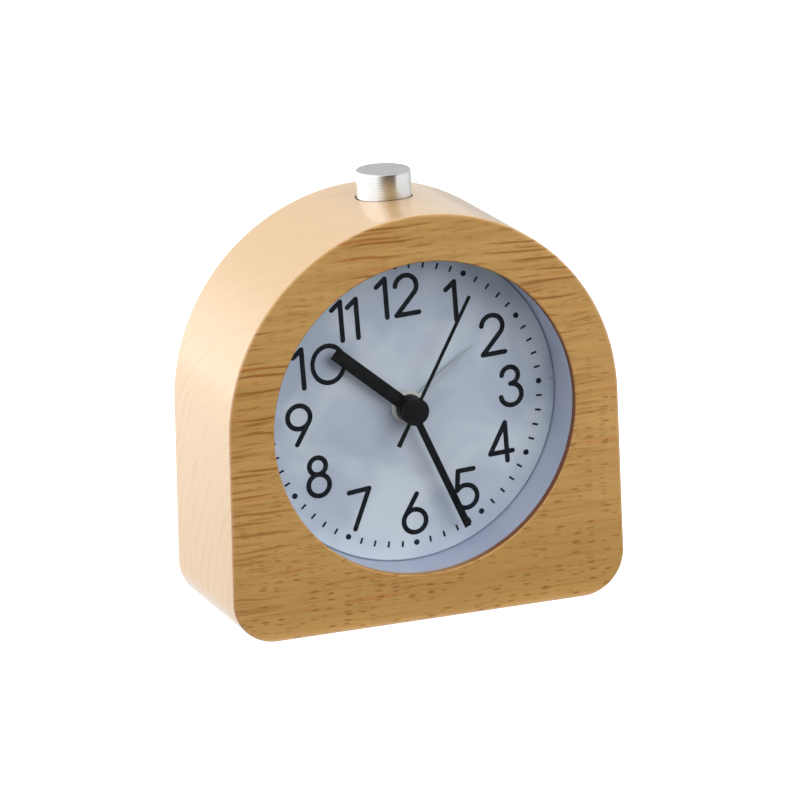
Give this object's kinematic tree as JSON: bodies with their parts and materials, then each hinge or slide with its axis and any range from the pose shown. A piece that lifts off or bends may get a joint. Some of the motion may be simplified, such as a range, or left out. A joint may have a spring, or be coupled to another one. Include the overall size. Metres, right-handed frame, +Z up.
{
  "type": "desk clock",
  "caption": "Small arched wooden desk clock with a round white dial, black hands, an alarm hand and a metal button on top.",
  "frame": {"origin": "under the middle of the case, on the surface that it stands on", "axes": "+Z up, the dial faces -Y, +X to the right as seen from the front"},
  "size_m": [0.1, 0.0404, 0.1055],
  "materials": {
    "case_wood": "oiled beech, satin",
    "clear_lens": "clear, polished",
    "ring_white": "smooth matt",
    "dial_white": "smooth matt",
    "dial_ink": "printed, matt",
    "hand_black": "satin black",
    "hand_pale": "satin white",
    "movement_black": "moulded, matt",
    "screw_steel": "bright",
    "gear_white": "moulded, natural",
    "magnet_grey": "sintered",
    "stator_iron": "plain",
    "copper_wire": "enamelled copper",
    "board_brown": "laminate",
    "buzzer_brass": "plain",
    "back_black": "fine moulded grain",
    "battery_wrap": "printed wrap",
    "spring_steel": "bright",
    "knob_grey": "moulded, matt",
    "button_metal": "turned and fine brushed",
    "lead_insulation": "soft insulation"
  },
  "bodies": {
    "case": {"wood_case": "case_wood", "lens": "clear_lens", "inner_ring": "ring_white", "dial_plate": "dial_white", "dial_numerals": "dial_ink", "dial_marks": "dial_ink", "front_plate": "movement_black", "middle_plate": "movement_black", "movement_housing": "movement_black", "movement_screws": "screw_steel", "stator": "stator_iron", "coil_core": "stator_iron", "coil_bobbin": "gear_white", "coil_winding": "copper_wire", "circuit_board": "board_brown", "chip_cap": "movement_black", "quartz_can": "screw_steel", "buzzer_disc": "buzzer_brass", "rear_cover": "back_black", "rear_screws": "screw_steel", "battery": "battery_wrap", "positive_contact": "spring_steel", "negative_contact": "spring_steel", "contact_spring": "spring_steel", "guide_bush": "movement_black", "button_spring": "spring_steel", "snooze_switch": "movement_black", "switch_leads": "lead_insulation"},
    "minute_works": {"cannon_pinion": "gear_white", "centre_wheel": "gear_white", "minute_hand": "hand_black"},
    "hour_works": {"hour_wheel": "gear_white", "hour_hand": "hand_black"},
    "alarm_works": {"alarm_wheel": "gear_white", "alarm_hand": "hand_pale"},
    "second_works": {"second_wheel": "gear_white", "second_hand": "hand_black"},
    "reversing_wheel": {"minute_wheel": "gear_white"},
    "third_works": {"third_wheel": "gear_white"},
    "step_works": {"step_wheel": "gear_white"},
    "rotor": {"rotor_pinion": "gear_white", "rotor_magnet": "magnet_grey"},
    "time_setter": {"time_set_shaft": "gear_white", "time_knob": "knob_grey"},
    "alarm_setter": {"alarm_set_shaft": "gear_white", "alarm_knob": "knob_grey"},
    "alarm_slider": {"alarm_switch": "knob_grey"},
    "door": {"battery_door": "back_black"},
    "button": {"button_cap": "button_metal", "button_stem": "spring_steel", "stem_clip": "spring_steel"},
    "plunger": {"switch_plunger": "knob_grey"}
  },
  "joints": [
    {"name": "minute_hand_turn", "type": "hinge", "parent": "case", "child": "minute_works", "pos_m": [0, 0, 0.0496], "axis": [0, 1, 0], "continuous": true},
    {"name": "hour_hand_turn", "type": "hinge", "parent": "case", "child": "hour_works", "pos_m": [0, 0, 0.0496], "axis": [0, 1, 0], "continuous": true},
    {"name": "second_hand_turn", "type": "hinge", "parent": "case", "child": "second_works", "pos_m": [0, 0, 0.0496], "axis": [0, 1, 0], "continuous": true},
    {"name": "reversing_wheel_turn", "type": "hinge", "parent": "case", "child": "reversing_wheel", "pos_m": [-0.00914, 0, 0.05738], "axis": [0, 1, 0], "continuous": true},
    {"name": "third_wheel_turn", "type": "hinge", "parent": "case", "child": "third_works", "pos_m": [0, 0, 0.0591], "axis": [0, 1, 0], "continuous": true},
    {"name": "step_wheel_turn", "type": "hinge", "parent": "case", "child": "step_works", "pos_m": [0.00883, 0, 0.05281], "axis": [0, 1, 0], "continuous": true},
    {"name": "rotor_turn", "type": "hinge", "parent": "case", "child": "rotor", "pos_m": [0.01243, 0, 0.05905], "axis": [0, 1, 0], "continuous": true},
    {"name": "time_knob_turn", "type": "hinge", "parent": "case", "child": "time_setter", "pos_m": [-0.0135, 0, 0.0462], "axis": [0, 1, 0], "continuous": true},
    {"name": "alarm_hand_turn", "type": "hinge", "parent": "case", "child": "alarm_works", "pos_m": [0, 0, 0.0496], "axis": [0, 1, 0], "continuous": true},
    {"name": "alarm_knob_turn", "type": "hinge", "parent": "case", "child": "alarm_setter", "pos_m": [0.0135, 0, 0.0462], "axis": [0, 1, 0], "continuous": true},
    {"name": "alarm_switch_slide", "type": "slide", "parent": "case", "child": "alarm_slider", "axis": [1, 0, 0], "range_m": [0, 0.003]},
    {"name": "battery_door_open", "type": "hinge", "parent": "case", "child": "door", "pos_m": [0, 0.0147, 0.0213], "axis": [-1, 0, 0], "range_deg": [0, 110]},
    {"name": "button_press", "type": "slide", "parent": "case", "child": "button", "axis": [0, 0, -1], "range_m": [0, 0.0015], "stiffness_N_per_m": 600, "springref_m": -0.001, "deforming": ["button_spring"]},
    {"name": "plunger_press", "type": "slide", "parent": "case", "child": "plunger", "axis": [0, 0, -1], "range_m": [0, 0.0015]}
  ],
  "couplings": [
    {"joint": "hour_hand_turn", "follows": "minute_hand_turn", "ratio": 0.083333},
    {"joint": "reversing_wheel_turn", "follows": "minute_hand_turn", "ratio": -0.33333},
    {"joint": "time_knob_turn", "follows": "minute_hand_turn", "ratio": 1},
    {"joint": "third_wheel_turn", "follows": "minute_hand_turn", "ratio": -7.5},
    {"joint": "second_hand_turn", "follows": "minute_hand_turn", "ratio": 60},
    {"joint": "step_wheel_turn", "follows": "minute_hand_turn", "ratio": -360},
    {"joint": "rotor_turn", "follows": "minute_hand_turn", "ratio": 1800},
    {"joint": "alarm_knob_turn", "follows": "alarm_hand_turn", "ratio": -3},
    {"joint": "plunger_press", "follows": "button_press", "ratio": 1}
  ]
}
